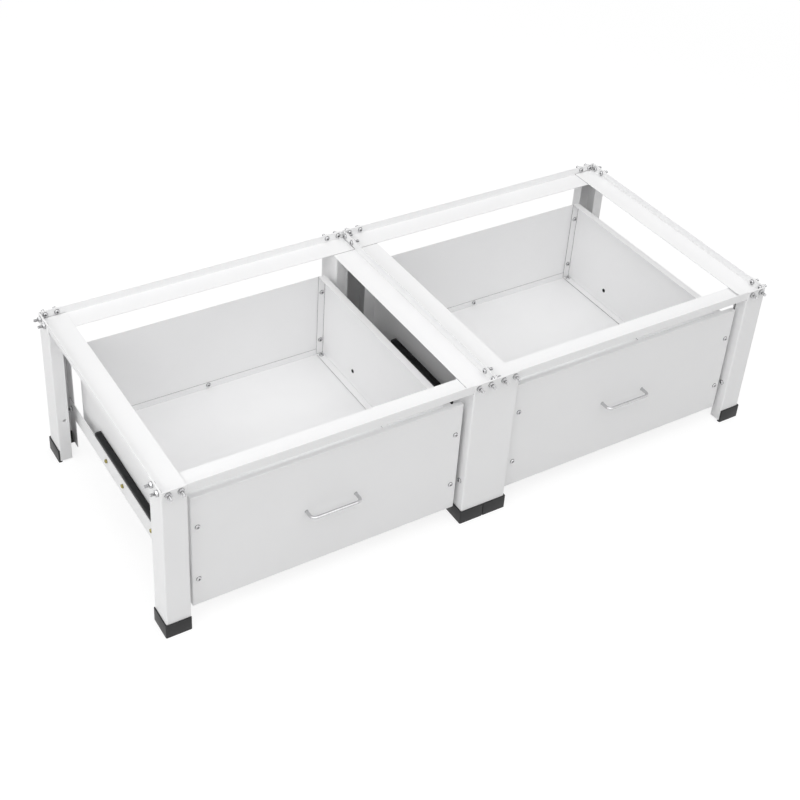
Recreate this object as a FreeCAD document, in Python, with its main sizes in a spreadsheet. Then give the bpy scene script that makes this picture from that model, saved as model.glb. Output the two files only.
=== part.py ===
import FreeCAD, Part
import Sketcher
import os
import re

# Double laundry pedestal: a bolted sheet steel stand for two machines side by side, with a drawer on
# telescopic slides in each bay. X runs left to right, Y front to back, Z up from the floor. The origin
# lies on the floor under the middle of the whole outline.

# Driving dimensions, in millimetres
SIZES = {
    "width": (1260.0, "outer faces of the left and right legs"),
    "depth": (540.0, "outer faces of the front and back legs"),
    "height": (318.0, "floor to the rim of the rails"),
    "fit_gap": (0.3, "room left between neighbours that do not touch"),
    "leg_sheet": (1.5, "sheet of the legs"),
    "leg_bend": (1.5, "inside radius of the folds of the legs"),
    "leg_front_face": (45.0, "corner leg, face seen from the front"),
    "leg_side_face": (48.0, "corner leg, face seen from the side"),
    "leg_lip": (24.0, "corner leg, folded lips"),
    "middle_leg_web": (95.0, "middle leg, face seen from the front"),
    "middle_leg_side": (60.0, "middle leg, depth of its sides"),
    "middle_leg_lip": (26.5, "middle leg, folded lips"),
    "spare_hole": (6.5, "unused hole in the lip of a corner leg"),
    "spare_hole_inset": (15.0, "unused hole, distance from the outer face"),
    "spare_hole_rise": (97.0, "unused hole, height over the floor"),
    "rail_sheet": (1.2, "sheet of the top rails"),
    "rail_bend": (1.0, "inside radius of the folds of the rails"),
    "rail_reach": (50.0, "flange edge of a rail from the outer face of the stand"),
    "rail_rim": (18.5, "rim of the front rails, the tallest ones"),
    "middle_gap": (0.1, "half of the gap between the two middle rails"),
    "cap_height": (28.0, "foot cap"),
    "cap_wall": (2.5, "walls of a foot cap"),
    "cap_sole": (3.0, "sole of a foot cap"),
    "cap_fit": (0.1, "room between a leg and its foot cap"),
    "bolt_diameter": (5.8, "frame bolts"),
    "bolt_hole": (6.4, "holes for the frame bolts"),
    "bolt_length": (16.0, "frame bolt under its head"),
    "bolt_head": (9.6, "frame bolt head across"),
    "bolt_head_height": (3.4, "frame bolt head"),
    "nut_flats": (10.0, "nut across its flats"),
    "nut_height": (5.0, "nut"),
    "rim_bolt_drop": (7.7, "rim bolts below the top"),
    "corner_bolt_near": (12.0, "corner rim bolt next to the corner"),
    "corner_bolt_far": (34.0, "corner rim bolt away from the corner"),
    "middle_bolt_near": (13.5, "middle leg rim bolt next to the centre"),
    "middle_bolt_far": (38.0, "middle leg rim bolt away from the centre"),
    "joint_bolt_near": (11.0, "first bolt through the two middle rails"),
    "joint_bolt_far": (37.0, "second bolt through the two middle rails"),
    "bar_sheet": (1.5, "sheet of the slide bars"),
    "bar_height": (37.0, "slide bar"),
    "bar_rise": (73.5, "underside of a slide bar over the floor"),
    "bar_bolt_inset": (15.0, "slide bar bolt from the outer face of the stand"),
    "window_room": (2.0, "room round a slide bar where it passes the lip of a middle leg"),
    "slide_height": (45.0, "telescopic slide section"),
    "slide_width": (12.7, "telescopic slide section"),
    "slide_sheet": (1.2, "sheet of the slide members"),
    "slide_inset": (61.0, "front end of a slide from the front of the stand"),
    "slide_back_room": (129.0, "back end of a slide from the back of the stand"),
    "slide_rise": (94.5, "centre line of a slide over the floor"),
    "slide_flange": (11.5, "flanges of the fixed member"),
    "middle_member_start": (2.5, "middle member flanges from the back of the slide"),
    "middle_member_width": (9.0, "middle member flanges"),
    "middle_member_web": (6.5, "middle member web from the back of the slide"),
    "inner_flange": (4.7, "flanges of the drawer member"),
    "ball_gap": (3.8, "height of a ball race"),
    "ball_diameter": (3.2, "bearing balls"),
    "cage_sheet": (1.0, "ball cage strips"),
    "cage_width": (4.4, "ball cage strips"),
    "cage_end_room": (10.0, "ball cage strip from the ends of its half of the slide"),
    "slide_screw_diameter": (4.6, "screws of the slides"),
    "slide_screw_hole": (5.0, "holes for the screws of the slides"),
    "slide_screw_head": (8.0, "head of a slide screw across"),
    "slide_screw_head_height": (1.5, "head of a slide screw"),
    "slide_screw_tip": (4.0, "slide screw end beyond the bar"),
    "slide_screw_first": (30.0, "first fixing screw from the front end of a slide"),
    "slide_screw_second": (90.0, "second fixing screw from the front end of a slide"),
    "slide_screw_third": (133.0, "third fixing screw from the back end of a slide"),
    "slide_screw_fourth": (58.0, "fourth fixing screw from the back end of a slide"),
    "drawer_sheet": (0.8, "sheet of the drawer panels"),
    "drawer_bend": (0.8, "inside radius of the folds of the drawer panels"),
    "front_inset": (14.0, "drawer front behind the front of the legs"),
    "front_side_gap": (9.0, "gap between a drawer front and the leg beside it"),
    "front_rise": (33.0, "lower edge of a drawer front over the floor"),
    "front_height": (239.5, "drawer front"),
    "front_return": (10.0, "folded edges of a drawer front"),
    "front_corner": (2.0, "outside radius of the folds of a drawer front"),
    "box_rise": (60.0, "lower edge of the drawer sides over the floor"),
    "box_height": (190.0, "drawer sides"),
    "side_flange": (15.0, "inward flanges of the drawer sides"),
    "box_back_room": (36.2, "drawer back from the back of the stand"),
    "press_depth": (1.0, "pressed field of a drawer back or bottom from its edges"),
    "press_margin": (1.5, "edge of a pressed field under the flange that covers it"),
    "floor_upstand": (13.0, "upturned front and back edges of the drawer bottom"),
    "screw_diameter": (4.8, "drawer screws"),
    "screw_hole": (5.2, "holes for the drawer screws"),
    "screw_head": (9.0, "drawer screw head across"),
    "screw_head_height": (2.8, "drawer screw head"),
    "screw_tip": (1.5, "drawer screw end beyond the sheets it joins"),
    "front_screw_inset": (12.0, "front screws from the side edge of the drawer front"),
    "front_screw_low": (92.0, "lower front screws over the floor"),
    "front_screw_high": (208.0, "upper front screws over the floor"),
    "back_screw_inset": (7.5, "back corner screws from the outer face of a drawer side"),
    "back_screw_low": (95.0, "lower back corner screws over the floor"),
    "back_screw_high": (212.0, "upper back corner screws over the floor"),
    "floor_screw_inset": (7.5, "floor screws from the outer face of a drawer side"),
    "floor_screw_end": (9.0, "floor screws from the front and back ends of a drawer side"),
    "runner_screw_end": (30.0, "drawer member screws from the ends of a slide"),
    "handle_span": (96.0, "handle posts, centre to centre"),
    "handle_rod": (6.0, "handle rod across"),
    "handle_reach": (21.0, "handle rod centre from the drawer front"),
    "handle_bend": (9.0, "handle bends, to the centre of the rod"),
    "handle_rise": (155.0, "handle over the floor"),
    "handle_screw_depth": (10.0, "handle screw inside its post"),
    "handle_screw_diameter": (3.8, "handle screws"),
    "handle_screw_hole": (4.2, "holes for the handle screws"),
}

doc = FreeCAD.newDocument("laundry_pedestal")
sheet = doc.addObject("Spreadsheet::Sheet", "sizes")
for row, (alias, (number, meaning)) in enumerate(SIZES.items(), start=1):
    sheet.set(f"A{row}", meaning)
    sheet.set(f"B{row}", str(number))
    sheet.setAlias(f"B{row}", alias)
doc.recompute()

# Places worked out from the driving dimensions, as expressions over the sheet
left = "(-width / 2)"
front = "(-depth / 2)"
back = "(depth / 2)"
middle_depth = "0"
lowest_flange = "(height - rail_rim)"
lip_top = f"({lowest_flange} - fit_gap)"
rail_clear = "(leg_sheet + rail_sheet + rail_bend + fit_gap)"
rim_bolt_rise = "(height - rim_bolt_drop)"
middle_leg_left = "(-middle_leg_web / 2)"
lip_face = f"({left} + leg_front_face)"
bay_centre = f"(({lip_face} + {middle_leg_left}) / 2)"
bar_face = f"({lip_face} - leg_sheet)"
bar_back = f"({bar_face} - bar_sheet)"
bar_top = "(bar_rise + bar_height)"
bar_bolt_rise = "(bar_rise + bar_height / 2)"
bar_clear = "(leg_sheet + leg_bend + fit_gap)"
slide_front = f"({front} + slide_inset)"
slide_back = f"({back} - slide_back_room)"
slide_length = f"({slide_back} - {slide_front})"
slide_middle = f"(({slide_front} + {slide_back}) / 2)"
side_face = f"({bar_face} + slide_width)"
side_inner = f"({side_face} + drawer_sheet)"
front_face = f"({front} + front_inset)"
front_inner = f"({front_face} + drawer_sheet)"
front_left = f"({lip_face} + front_side_gap)"
box_back = f"({back} - box_back_room)"
back_inner = f"({box_back} - drawer_sheet)"
box_top = "(box_rise + box_height)"
handle_line = f"({front_face} - handle_reach)"
handle_left = f"({bay_centre} - handle_span / 2)"


def linked(text):
    """An expression with each size name pointed at its cell."""
    return re.sub(r"[a-z][a-z_]+", r"sizes.\g<0>", text)


def number_of(text):
    """The present value of an expression over the sheet."""
    return float(sheet.evalExpression(linked(text)))


def vector_of(texts):
    return FreeCAD.Vector(*[number_of(text) for text in texts])


def bind(item, **expressions):
    """Ties properties to the sheet; two underscores in a name stand for a dot."""
    for name, text in expressions.items():
        item.setExpression(name.replace("__", "."), linked(text))


ALONG = {"x": FreeCAD.Vector(1, 0, 0), "y": FreeCAD.Vector(0, 1, 0), "z": FreeCAD.Vector(0, 0, 1)}
LYING = {axis: FreeCAD.Rotation(ALONG["z"], way) for axis, way in ALONG.items()}
# A profile drawn in its own x and y is drawn out along X with x on Y and y on Z, or along Y with x on Z
# and y on X
PROFILE_TURN = {
    "x": FreeCAD.Rotation(FreeCAD.Vector(1, 1, 1), 120),
    "y": FreeCAD.Rotation(FreeCAD.Vector(1, 1, 1), 240),
    "z": FreeCAD.Rotation(),
}


def block(low, high):
    box = doc.addObject("Part::Box", "block")
    bind(box, Placement__Base__x=low[0], Placement__Base__y=low[1], Placement__Base__z=low[2])
    bind(box, Length=f"{high[0]} - {low[0]}", Width=f"{high[1]} - {low[1]}", Height=f"{high[2]} - {low[2]}")
    return box


def rod(start, axis, length, diameter):
    cylinder = doc.addObject("Part::Cylinder", "rod")
    cylinder.Placement.Rotation = LYING[axis]
    bind(cylinder, Placement__Base__x=start[0], Placement__Base__y=start[1], Placement__Base__z=start[2])
    bind(cylinder, Height=length, Radius=f"{diameter} / 2")
    return cylinder


def joined(label, pieces):
    fuse = doc.addObject("Part::MultiFuse", label)
    fuse.Shapes = pieces
    fuse.Refine = True
    return fuse


def cut_away(label, base, tools):
    together = doc.addObject("Part::Compound", "tools")
    together.Links = tools
    cut = doc.addObject("Part::Cut", label)
    cut.Base = base
    cut.Tool = together
    return cut


def mirrored(label, source, axis, plane):
    copy = doc.addObject("Part::Mirroring", label)
    copy.Source = source
    copy.Normal = ALONG[axis]
    bind(copy, **{f"Base__{axis}": plane})
    return copy


def hole(centre, axis, diameter):
    """A drill through thin sheet, running an equal way to both sides of its centre."""
    start = list(centre)
    side = "xyz".index(axis)
    start[side] = f"({start[side]} - bolt_length / 2)"
    return rod(start, axis, "bolt_length", diameter)


def edges_at(shape, corners):
    """Names of the edges drawn out from these corners of a profile."""
    names = []
    for index, edge in enumerate(shape.Edges, start=1):
        ends = [vertex.Point for vertex in edge.Vertexes]
        upright = len(ends) == 2 and abs(ends[0].z - ends[1].z) > 1e-6
        if upright and any(abs(ends[0].x - x) < 1e-6 and abs(ends[0].y - y) < 1e-6 for x, y in corners):
            names.append(f"Edge{index}")
    return names


def rounded(body, base, corners, radius):
    doc.recompute()
    fillet = body.newObject("PartDesign::Fillet", "fold")
    fillet.Base = (base, edges_at(base.Shape, corners))
    bind(fillet, Radius=radius)
    return fillet


def folded_sheet(label, path, side, thickness, bend, axis, start, length):
    """A sheet folded at right angles along a path, on its left (1) or right (-1), drawn out along an axis."""
    points = [(number_of(x), number_of(y)) for x, y in path]
    ways = []
    for (x0, y0), (x1, y1) in zip(points, points[1:]):
        run = abs(x1 - x0) + abs(y1 - y0)
        ways.append((round((x1 - x0) / run), round((y1 - y0) / run)))
    normals = [(-side * dy, side * dx) for dx, dy in ways]
    offset = []
    for index, (x, y) in enumerate(path):
        beside = {normals[max(index - 1, 0)], normals[min(index, len(normals) - 1)]}
        shift_x = sum(normal[0] for normal in beside)
        shift_y = sum(normal[1] for normal in beside)
        offset.append((f"({x} + {shift_x} * {thickness})", f"({y} + {shift_y} * {thickness})"))
    body = doc.addObject("PartDesign::Body", label)
    plane = next(item for item in body.Origin.OriginFeatures if item.Role == "XY_Plane")
    sketch = body.newObject("Sketcher::SketchObject", "profile")
    sketch.AttachmentSupport = (plane, "")
    sketch.MapMode = "FlatFace"
    outline = list(path) + offset[::-1]
    corners = [FreeCAD.Vector(number_of(x), number_of(y), 0) for x, y in outline]
    count = len(outline)
    for index in range(count):
        sketch.addGeometry(Part.LineSegment(corners[index], corners[(index + 1) % count]))
    for index in range(count):
        sketch.addConstraint(Sketcher.Constraint("Coincident", index, 2, (index + 1) % count, 1))
    for index, (x, y) in enumerate(outline):
        for kind, text, place in (("DistanceX", x, corners[index].x), ("DistanceY", y, corners[index].y)):
            place_of = sketch.addConstraint(Sketcher.Constraint(kind, -1, 1, index, 1, place))
            sketch.setExpression(f"Constraints[{place_of}]", linked(text))
    pad = body.newObject("PartDesign::Pad", "sheet")
    pad.Profile = sketch
    bind(pad, Length=length)
    inside, outside = [], []
    for index in range(1, len(path) - 1):
        turn = ways[index - 1][0] * ways[index][1] - ways[index - 1][1] * ways[index][0]
        kept = (corners[index].x, corners[index].y)
        moved = vector_of([*offset[index], "0"])
        moved = (moved.x, moved.y)
        inside.append(moved if turn == side else kept)
        outside.append(kept if turn == side else moved)
    outer_fold = rounded(body, pad, outside, f"{bend} + {thickness}")
    rounded(body, outer_fold, inside, bend)
    body.Placement.Rotation = PROFILE_TURN[axis]
    bind(body, **{f"Placement__Base__{axis}": start})
    return body


nodes = {}


def keep(label, piece):
    """Names a finished piece."""
    piece.Label = label
    nodes[label] = piece
    return piece


def keep_four(names, piece):
    """A front left piece and its mirror copies at the front right, back left and back right."""
    front_left_name, front_right_name, back_left_name, back_right_name = names
    keep(front_left_name, piece)
    keep(front_right_name, mirrored(front_right_name, piece, "x", "0"))
    behind = keep(back_left_name, mirrored(back_left_name, piece, "y", middle_depth))
    keep(back_right_name, mirrored(back_right_name, behind, "x", "0"))


def keep_bay(part_name, piece):
    """A piece at the left of the left bay, and its mirror copies at the other three drawer sides."""
    inner_name, far_name, outer_name = (f"{bay}_{part_name}" for bay in
                                        ("left_bay_right", "right_bay_left", "right_bay_right"))
    keep(f"left_bay_left_{part_name}", piece)
    inner = keep(inner_name, mirrored(inner_name, piece, "x", bay_centre))
    keep(far_name, mirrored(far_name, inner, "x", "0"))
    keep(outer_name, mirrored(outer_name, piece, "x", "0"))


def keep_drawer(part_name, piece):
    """A piece of the left drawer and its mirror copy on the right drawer."""
    keep(f"left_drawer_{part_name}", piece)
    keep(f"right_drawer_{part_name}", mirrored(f"right_drawer_{part_name}", piece, "x", "0"))


# Corner legs: lipped angles, with the lips cut short under the rails
leg_right = lip_face
leg_back = f"({front} + leg_side_face)"
corner_leg = folded_sheet(
    "corner_leg",
    [(f"({left} + leg_lip)", leg_back), (left, leg_back), (left, front), (leg_right, front),
     (leg_right, f"({front} + leg_lip)")],
    1, "leg_sheet", "leg_bend", "z", "cap_sole", "height - cap_sole")
leg_cuts = [block((f"({left} + leg_sheet)", f"({front} + leg_sheet)", lip_top),
                  (f"({leg_right} + leg_sheet)", f"({leg_back} + leg_sheet)", "(height + leg_sheet)"))]
for bolt_inset in ("corner_bolt_near", "corner_bolt_far"):
    leg_cuts.append(hole((f"({left} + {bolt_inset})", front, rim_bolt_rise), "y", "bolt_hole"))
    leg_cuts.append(hole((left, f"({front} + {bolt_inset})", rim_bolt_rise), "x", "bolt_hole"))
leg_cuts.append(hole((leg_right, f"({front} + bar_bolt_inset)", bar_bolt_rise), "x", "bolt_hole"))
leg_cuts.append(hole((f"({left} + spare_hole_inset)", leg_back, "spare_hole_rise"), "y", "spare_hole"))
keep_four(("leg_front_left", "leg_front_right", "leg_back_left", "leg_back_right"),
          cut_away("leg_front_left", corner_leg, leg_cuts))

# Middle legs: lipped channels, with a window in each lip where a slide bar passes
middle_leg_right = "(middle_leg_web / 2)"
middle_leg_back = f"({front} + middle_leg_side)"
middle_leg = folded_sheet(
    "middle_leg",
    [(f"({middle_leg_left} + middle_leg_lip)", middle_leg_back), (middle_leg_left, middle_leg_back),
     (middle_leg_left, front), (middle_leg_right, front), (middle_leg_right, middle_leg_back),
     (f"({middle_leg_right} - middle_leg_lip)", middle_leg_back)],
    1, "leg_sheet", "leg_bend", "z", "cap_sole", "height - cap_sole")
middle_cuts = [block((f"({middle_leg_left} - leg_sheet)", f"({front} + leg_sheet)", lip_top),
                     (f"({middle_leg_right} + leg_sheet)", f"({middle_leg_back} + leg_sheet)",
                      "(height + leg_sheet)"))]
window_front = f"({middle_leg_back} - leg_sheet - leg_bend - fit_gap)"
window_reach = "(leg_sheet - fit_gap)"
window_width = "(bar_sheet + window_room)"
for window_left in (f"({middle_leg_left} + {window_reach})",
                    f"({middle_leg_right} - {window_reach} - {window_width})"):
    window_right = f"({window_left} + {window_width})"
    middle_cuts.append(block(
        (window_left, window_front, "(bar_rise - window_room)"),
        (window_right, f"({middle_leg_back} + leg_sheet)", f"({bar_top} + window_room)")))
for sign in ("-", "+"):
    for bolt_inset in ("middle_bolt_near", "middle_bolt_far"):
        middle_cuts.append(hole((f"(0 {sign} {bolt_inset})", front, rim_bolt_rise), "y", "bolt_hole"))
    middle_cuts.append(hole((f"(0 {sign} middle_leg_web / 2)", f"({front} + bar_bolt_inset)", bar_bolt_rise),
                            "x", "bolt_hole"))
middle_front = keep("leg_front_middle", cut_away("leg_front_middle", middle_leg, middle_cuts))
keep("leg_back_middle", mirrored("leg_back_middle", middle_front, "y", middle_depth))


# Foot caps: black plastic shoes, each round one corner of a leg; two of them meet under a middle leg
def foot_cap(label, corner, wing):
    outer = f"({corner} - cap_wall)"
    outer_front = f"({front} - cap_wall)"
    inner_wall = "(leg_sheet + cap_fit + cap_wall)"
    wing_end = f"({corner} + {wing})"
    side_end = f"({front} + leg_side_face)"
    shoe = joined("shoe", [
        block((outer, outer_front, "0"), (wing_end, f"({front} + {inner_wall})", "cap_height")),
        block((outer, outer_front, "0"), (f"({corner} + {inner_wall})", side_end, "cap_height"))])
    slot_left = f"({corner} - cap_fit)"
    slot_front = f"({front} - cap_fit)"
    slot_reach = "(leg_sheet + cap_fit)"
    fold_reach = "(leg_sheet + leg_bend + cap_fit)"
    lip_room_left = f"({wing_end} - {fold_reach})"
    lip_room_front = f"({side_end} - {fold_reach})"
    past_wing = f"({wing_end} + cap_wall)"
    past_side = f"({side_end} + cap_wall)"
    past_top = "(cap_height + cap_wall)"
    rooms = [
        (slot_left, slot_front, past_wing, f"({front} + {slot_reach})"),
        (slot_left, slot_front, f"({corner} + {slot_reach})", past_side),
        (slot_left, slot_front, f"({corner} + {fold_reach})", f"({front} + {fold_reach})"),
        (lip_room_left, slot_front, past_wing, past_side),
        (slot_left, lip_room_front, past_wing, past_side)]
    slot = joined("slot", [block((x0, y0, "cap_sole"), (x1, y1, past_top)) for x0, y0, x1, y1 in rooms])
    return cut_away(label, shoe, [slot])


keep_four(("foot_front_left", "foot_front_right", "foot_back_left", "foot_back_right"),
          foot_cap("foot_front_left", left, "leg_front_face"))
keep_four(("foot_front_middle_left", "foot_front_middle_right",
           "foot_back_middle_left", "foot_back_middle_right"),
          foot_cap("foot_front_middle_left", middle_leg_left, "((middle_leg_web - fit_gap) / 2)"))

# Top rails: angles whose flanges lap over each other one sheet higher each time, front, middle, back, side
middle_flange = f"({lowest_flange} + rail_sheet)"
back_flange_rise = f"({lowest_flange} + 2 * rail_sheet)"
side_flange_rise = f"({lowest_flange} + 3 * rail_sheet)"
rail_start = f"({left} + {rail_clear})"
front_rim = f"({front} + leg_sheet)"
back_rim = f"({back} - leg_sheet)"
rail_holes = [f"({left} + corner_bolt_near)", f"({left} + corner_bolt_far)",
              "(0 - middle_bolt_far)", "(0 - middle_bolt_near)"]

front_rail = folded_sheet(
    "front_rail",
    [(front_rim, "height"), (front_rim, lowest_flange), (f"({front} + rail_reach)", lowest_flange)],
    1, "rail_sheet", "rail_bend", "x", rail_start, f"(0 - middle_gap - fit_gap) - {rail_start}")
keep("rail_front_left", cut_away(
    "rail_front_left", front_rail,
    [hole((place, front_rim, rim_bolt_rise), "y", "bolt_hole") for place in rail_holes]))

back_rail_end = "(0 - middle_gap - rail_sheet - rail_bend - fit_gap)"
back_rail = folded_sheet(
    "back_rail",
    [(f"({back} - rail_reach)", back_flange_rise), (back_rim, back_flange_rise), (back_rim, "height")],
    1, "rail_sheet", "rail_bend", "x", rail_start, f"{back_rail_end} - {rail_start}")
keep("rail_back_left", cut_away(
    "rail_back_left", back_rail,
    [hole((place, back_rim, rim_bolt_rise), "y", "bolt_hole") for place in rail_holes]))

side_rim = f"({left} + leg_sheet)"
lengthwise_start = f"({front} + {rail_clear})"
lengthwise = f"(depth - 2 * {rail_clear})"
side_rail = folded_sheet(
    "side_rail",
    [(side_flange_rise, f"({left} + rail_reach)"), (side_flange_rise, side_rim), ("height", side_rim)],
    1, "rail_sheet", "rail_bend", "y", lengthwise_start, lengthwise)
side_rail_holes = []
for end, sign in ((front, "+"), (back, "-")):
    for bolt_inset in ("corner_bolt_near", "corner_bolt_far"):
        place = f"({end} {sign} {bolt_inset})"
        side_rail_holes.append(hole((side_rim, place, rim_bolt_rise), "x", "bolt_hole"))
keep("rail_side_left", cut_away("rail_side_left", side_rail, side_rail_holes))

middle_rim = "(0 - middle_gap)"
middle_rail = folded_sheet(
    "middle_rail",
    [("height", middle_rim), (middle_flange, middle_rim), (middle_flange, "(0 - rail_reach)")],
    1, "rail_sheet", "rail_bend", "y", lengthwise_start, lengthwise)
middle_holes = []
for end, sign in ((front, "+"), (back, "-")):
    for bolt_inset in ("joint_bolt_near", "joint_bolt_far"):
        place = f"({end} {sign} {bolt_inset})"
        middle_holes.append(hole((middle_rim, place, rim_bolt_rise), "x", "bolt_hole"))
keep("rail_middle_left", cut_away("rail_middle_left", middle_rail, middle_holes))
for place in ("front", "back", "side", "middle"):
    keep(f"rail_{place}_right", mirrored(f"rail_{place}_right", nodes[f"rail_{place}_left"], "x", "0"))

# Slide bars: flat bars bolted to the legs, which carry the telescopic slides
slide_bar = block((bar_back, f"({front} + {bar_clear})", "bar_rise"),
                  (bar_face, f"({back} - {bar_clear})", bar_top))
bar_holes = []
for end, sign in ((front, "+"), (back, "-")):
    place = f"({end} {sign} bar_bolt_inset)"
    bar_holes.append(hole((bar_face, place, bar_bolt_rise), "x", "bolt_hole"))
slide_fixings = [f"({slide_front} + slide_screw_first)", f"({slide_front} + slide_screw_second)",
                 f"({slide_back} - slide_screw_third)", f"({slide_back} - slide_screw_fourth)"]
fixing_holes = [(bar_face, place, "slide_rise") for place in slide_fixings]
bar_holes += [hole(place, "x", "slide_screw_hole") for place in fixing_holes]
keep_bay("bar", cut_away("left_bay_left_bar", slide_bar, bar_holes))

# Telescopic slides: a fixed member, a middle member with ball cages, and a member on the drawer side
slide_top = "(slide_rise + slide_height / 2)"
slide_bottom = "(slide_rise - slide_height / 2)"
outer_edge = f"({bar_face} + slide_flange)"
outer_member = folded_sheet(
    "outer_member",
    [(slide_top, outer_edge), (slide_top, bar_face), (slide_bottom, bar_face), (slide_bottom, outer_edge)],
    -1, "slide_sheet", "fit_gap", "y", slide_front, slide_length)
keep_bay("slide_outer", cut_away(
    "left_bay_left_slide_outer", outer_member,
    [hole(place, "x", "slide_screw_hole") for place in fixing_holes]))

middle_half = "(slide_height / 2 - slide_sheet - ball_gap)"
member_left = f"({bar_face} + middle_member_start)"
member_right = f"({member_left} + middle_member_width)"
web_left = f"({bar_face} + middle_member_web)"
flange_low = f"(slide_rise - {middle_half})"
flange_high = f"(slide_rise + {middle_half})"
web_right = f"({web_left} + slide_sheet)"
low_inside = f"({flange_low} + slide_sheet)"
high_inside = f"({flange_high} - slide_sheet)"
keep_bay("slide_middle", joined("left_bay_left_slide_middle", [
    block((web_left, slide_front, flange_low), (web_right, slide_back, flange_high)),
    block((member_left, slide_front, flange_low), (member_right, slide_back, low_inside)),
    block((member_left, slide_front, high_inside), (member_right, slide_back, flange_high))]))

inner_half = f"({middle_half} - slide_sheet - ball_gap)"
inner_top = f"(slide_rise + {inner_half})"
inner_bottom = f"(slide_rise - {inner_half})"
inner_edge = f"({side_face} - inner_flange)"
inner_member = folded_sheet(
    "inner_member",
    [(inner_top, inner_edge), (inner_top, side_face), (inner_bottom, side_face), (inner_bottom, inner_edge)],
    1, "slide_sheet", "fit_gap", "y", slide_front, slide_length)
runner_places = [f"({slide_front} + runner_screw_end)", f"({slide_back} - runner_screw_end)"]
runner_holes = [(side_face, place, "slide_rise") for place in runner_places]
keep_bay("slide_inner", cut_away(
    "left_bay_left_slide_inner", inner_member,
    [hole(place, "x", "slide_screw_hole") for place in runner_holes]))

BALLS_PER_STRIP = 5
ball_room = "(ball_diameter + fit_gap)"
outer_race = f"({middle_half} + ball_gap / 2)"
inner_race = f"({inner_half} + ball_gap / 2)"
outer_line = f"({member_left} + middle_member_width / 2)"
inner_line = f"(({inner_edge} + {member_right}) / 2)"
strip_length = number_of(f"{slide_length} / 2 - 2 * cage_end_room")
cage_pieces = []
for race, line, begin in ((outer_race, outer_line, f"{slide_middle} + cage_end_room"),
                          (inner_race, inner_line, f"{slide_front} + cage_end_room")):
    strip_width = min(number_of("cage_width"), 2 * number_of(f"{side_face} - slide_sheet - fit_gap - {line}"))
    for sign in ("+", "-"):
        centre = vector_of((line, begin, f"slide_rise {sign} {race}"))
        strip = Part.makeBox(strip_width, strip_length, number_of("cage_sheet"))
        strip.translate(centre - FreeCAD.Vector(strip_width / 2, 0, number_of("cage_sheet / 2")))
        for index in range(BALLS_PER_STRIP):
            spot = centre + FreeCAD.Vector(0, strip_length * (index + 0.5) / BALLS_PER_STRIP, 0)
            strip = strip.cut(Part.makeCylinder(number_of(f"{ball_room} / 2"), number_of("ball_gap"),
                                                spot - ALONG["z"] * number_of("ball_gap / 2")))
            cage_pieces.append(Part.makeSphere(number_of("ball_diameter / 2"), spot))
        cage_pieces.append(strip)
ball_cage = doc.addObject("Part::Feature", "left_bay_left_slide_balls")
ball_cage.Shape = Part.makeCompound(cage_pieces)
keep_bay("slide_balls", ball_cage)

# Drawer fronts: shallow trays with rounded folds
front_right = f"(2 * {bay_centre} - {front_left})"
front_width = f"({front_right} - {front_left})"


def rounded_tray_block(low, length, width, height, radius):
    """A block with every edge rounded but those of its back face."""
    body = doc.addObject("PartDesign::Body", "tray_block")
    box = body.newObject("PartDesign::AdditiveBox", "tray")
    bind(box, Length=length, Width=width, Height=height)
    bind(body, Placement__Base__x=low[0], Placement__Base__y=low[1], Placement__Base__z=low[2])
    doc.recompute()
    open_face = number_of(width)
    fillet = body.newObject("PartDesign::Fillet", "folds")
    fillet.Base = (box, [f"Edge{index}" for index, edge in enumerate(box.Shape.Edges, start=1)
                         if any(abs(vertex.Y - open_face) > 1e-6 for vertex in edge.Vertexes)])
    bind(fillet, Radius=radius)
    return body


tray = rounded_tray_block((front_left, front_face, "front_rise"),
                          front_width, "front_return", "front_height", "front_corner")
hollow = rounded_tray_block(
    (f"({front_left} + drawer_sheet)", front_inner, "(front_rise + drawer_sheet)"),
    f"{front_width} - 2 * drawer_sheet", "front_return", "front_height - 2 * drawer_sheet",
    "front_corner - drawer_sheet")
front_screws = [(f"({front_left} + front_screw_inset)", front_face, rise)
                for rise in ("front_screw_low", "front_screw_high")]
front_screws += [(f"({front_right} - front_screw_inset)", front_face, rise)
                 for rise in ("front_screw_low", "front_screw_high")]
handle_screws = [(handle_left, front_inner, "handle_rise"),
                 (f"({handle_left} + handle_span)", front_inner, "handle_rise")]
front_holes = [hole(place, "y", "screw_hole") for place in front_screws]
front_holes += [hole(place, "y", "handle_screw_hole") for place in handle_screws]
keep_drawer("front", cut_away("left_drawer_front", tray, [hollow] + front_holes))

# Handles: bent chromed rods, screwed on from inside the drawer fronts
handle_right = f"({handle_left} + handle_span)"
bend_line = f"({handle_line} + handle_bend)"
handle_pieces = [rod((f"({handle_left} + handle_bend)", handle_line, "handle_rise"), "x",
                     "handle_span - 2 * handle_bend", "handle_rod")]
for post, bend_centre, start_angle in ((handle_left, f"({handle_left} + handle_bend)", 180),
                                       (handle_right, f"({handle_right} - handle_bend)", 270)):
    handle_pieces.append(rod((post, bend_line, "handle_rise"), "y",
                             "handle_reach - handle_bend", "handle_rod"))
    torus = doc.addObject("Part::Torus", "bend")
    torus.Placement.Rotation = FreeCAD.Rotation(ALONG["z"], start_angle)
    torus.Angle3 = 90
    bind(torus, Radius1="handle_bend", Radius2="handle_rod / 2")
    bind(torus, Placement__Base__x=bend_centre, Placement__Base__y=bend_line)
    bind(torus, Placement__Base__z="handle_rise")
    handle_pieces.append(torus)
screw_room = "(handle_screw_depth + fit_gap)"
screw_end = f"({front_face} - {screw_room})"
keep_drawer("handle", cut_away(
    "left_drawer_handle", joined("handle", handle_pieces),
    [rod((x, screw_end, z), "y", screw_room, "handle_screw_hole") for x, _, z in handle_screws]))

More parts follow.
